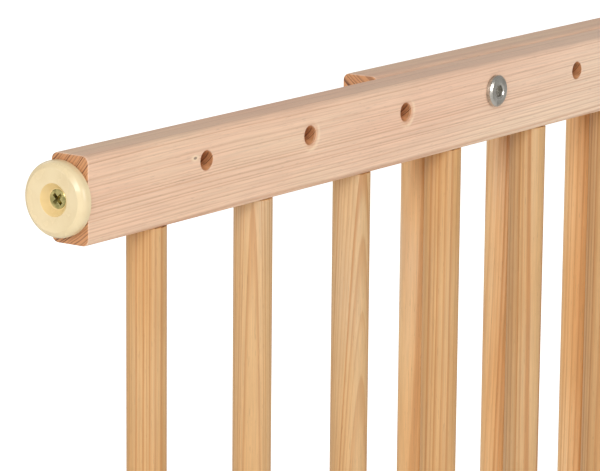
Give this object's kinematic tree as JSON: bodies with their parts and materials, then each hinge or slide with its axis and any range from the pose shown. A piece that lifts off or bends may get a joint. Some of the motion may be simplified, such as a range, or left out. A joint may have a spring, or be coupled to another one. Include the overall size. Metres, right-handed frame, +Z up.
{
  "type": "adjustable wooden safety gate",
  "caption": "Wooden play barrier of two slatted panels that slide over each other, bolted through rows of rail holes, with round wall pads and spindle adjusters.",
  "frame": {"origin": "middle of the gate's width and depth at rest, on the plane of the bottom rails' undersides", "axes": "+X along the rails towards the adjusters, +Y from the front panel to the back panel, +Z up"},
  "size_m": [0.8956, 0.045, 0.72],
  "materials": {
    "rail_pine": "clear satin lacquer on planed pine",
    "slat_pine": "clear satin lacquer on turned pine",
    "cream_plastic": "semi-gloss moulded plastic",
    "yellow_zinc": "yellow zinc plated",
    "nickel_steel": "bright nickel plated",
    "zinc_steel": "clear zinc plated"
  },
  "bodies": {
    "front_panel": {"front_top_rail": "rail_pine", "front_bottom_rail": "rail_pine", "front_slat_1": "slat_pine", "front_slat_2": "slat_pine", "front_slat_3": "slat_pine", "front_slat_4": "slat_pine", "front_slat_5": "slat_pine", "front_slat_6": "slat_pine", "front_slat_7": "slat_pine", "front_slat_8": "slat_pine", "front_slat_9": "slat_pine", "top_left_wall_pad": "cream_plastic", "top_left_pad_screw": "yellow_zinc", "bottom_left_wall_pad": "cream_plastic", "bottom_left_pad_screw": "yellow_zinc"},
    "back_panel": {"back_top_rail": "rail_pine", "back_bottom_rail": "rail_pine", "back_slat_1": "slat_pine", "back_slat_2": "slat_pine", "back_slat_3": "slat_pine", "back_slat_4": "slat_pine", "back_slat_5": "slat_pine", "back_slat_6": "slat_pine", "back_slat_7": "slat_pine", "back_slat_8": "slat_pine", "back_slat_9": "slat_pine"},
    "top_left_bolt": {"top_left_bolt": "nickel_steel"},
    "top_left_sleeve_nut": {"top_left_sleeve_nut": "nickel_steel"},
    "top_right_bolt": {"top_right_bolt": "nickel_steel"},
    "top_right_sleeve_nut": {"top_right_sleeve_nut": "nickel_steel"},
    "bottom_left_bolt": {"bottom_left_bolt": "nickel_steel"},
    "bottom_left_sleeve_nut": {"bottom_left_sleeve_nut": "nickel_steel"},
    "bottom_right_bolt": {"bottom_right_bolt": "nickel_steel"},
    "bottom_right_sleeve_nut": {"bottom_right_sleeve_nut": "nickel_steel"},
    "top_wheel": {"top_handwheel": "cream_plastic", "top_handwheel_nut": "zinc_steel"},
    "top_foot": {"top_spindle": "zinc_steel", "top_right_wall_pad": "cream_plastic", "top_right_pad_screw": "yellow_zinc"},
    "bottom_wheel": {"bottom_handwheel": "cream_plastic", "bottom_handwheel_nut": "zinc_steel"},
    "bottom_foot": {"bottom_spindle": "zinc_steel", "bottom_right_wall_pad": "cream_plastic", "bottom_right_pad_screw": "yellow_zinc"}
  },
  "joints": [
    {"name": "back_panel_slide", "type": "slide", "parent": "front_panel", "child": "back_panel", "axis": [1, 0, 0], "range_m": [-0.21, 0.21]},
    {"name": "top_left_bolt_pull", "type": "slide", "parent": "front_panel", "child": "top_left_bolt", "axis": [0, -1, 0], "range_m": [0, 0.045]},
    {"name": "top_left_sleeve_nut_pull", "type": "slide", "parent": "front_panel", "child": "top_left_sleeve_nut", "axis": [0, 1, 0], "range_m": [0, 0.045]},
    {"name": "top_right_bolt_pull", "type": "slide", "parent": "front_panel", "child": "top_right_bolt", "axis": [0, -1, 0], "range_m": [0, 0.045]},
    {"name": "top_right_sleeve_nut_pull", "type": "slide", "parent": "front_panel", "child": "top_right_sleeve_nut", "axis": [0, 1, 0], "range_m": [0, 0.045]},
    {"name": "bottom_left_bolt_pull", "type": "slide", "parent": "front_panel", "child": "bottom_left_bolt", "axis": [0, -1, 0], "range_m": [0, 0.045]},
    {"name": "bottom_left_sleeve_nut_pull", "type": "slide", "parent": "front_panel", "child": "bottom_left_sleeve_nut", "axis": [0, 1, 0], "range_m": [0, 0.045]},
    {"name": "bottom_right_bolt_pull", "type": "slide", "parent": "front_panel", "child": "bottom_right_bolt", "axis": [0, -1, 0], "range_m": [0, 0.045]},
    {"name": "bottom_right_sleeve_nut_pull", "type": "slide", "parent": "front_panel", "child": "bottom_right_sleeve_nut", "axis": [0, 1, 0], "range_m": [0, 0.045]},
    {"name": "top_wheel_turn", "type": "hinge", "parent": "back_panel", "child": "top_wheel", "pos_m": [0.43095, 0.0075, 0.7025], "axis": [-1, 0, 0], "range_deg": [0, 20196]},
    {"name": "top_foot_travel", "type": "slide", "parent": "back_panel", "child": "top_foot", "axis": [1, 0, 0], "range_m": [0, 0.07]},
    {"name": "bottom_wheel_turn", "type": "hinge", "parent": "back_panel", "child": "bottom_wheel", "pos_m": [0.43095, 0.0075, 0.0175], "axis": [-1, 0, 0], "range_deg": [0, 20196]},
    {"name": "bottom_foot_travel", "type": "slide", "parent": "back_panel", "child": "bottom_foot", "axis": [1, 0, 0], "range_m": [0, 0.07]}
  ],
  "couplings": [
    {"joint": "top_wheel_turn", "follows": "top_foot_travel", "rad_per_m": 5026.5},
    {"joint": "bottom_wheel_turn", "follows": "bottom_foot_travel", "rad_per_m": 5026.5}
  ]
}
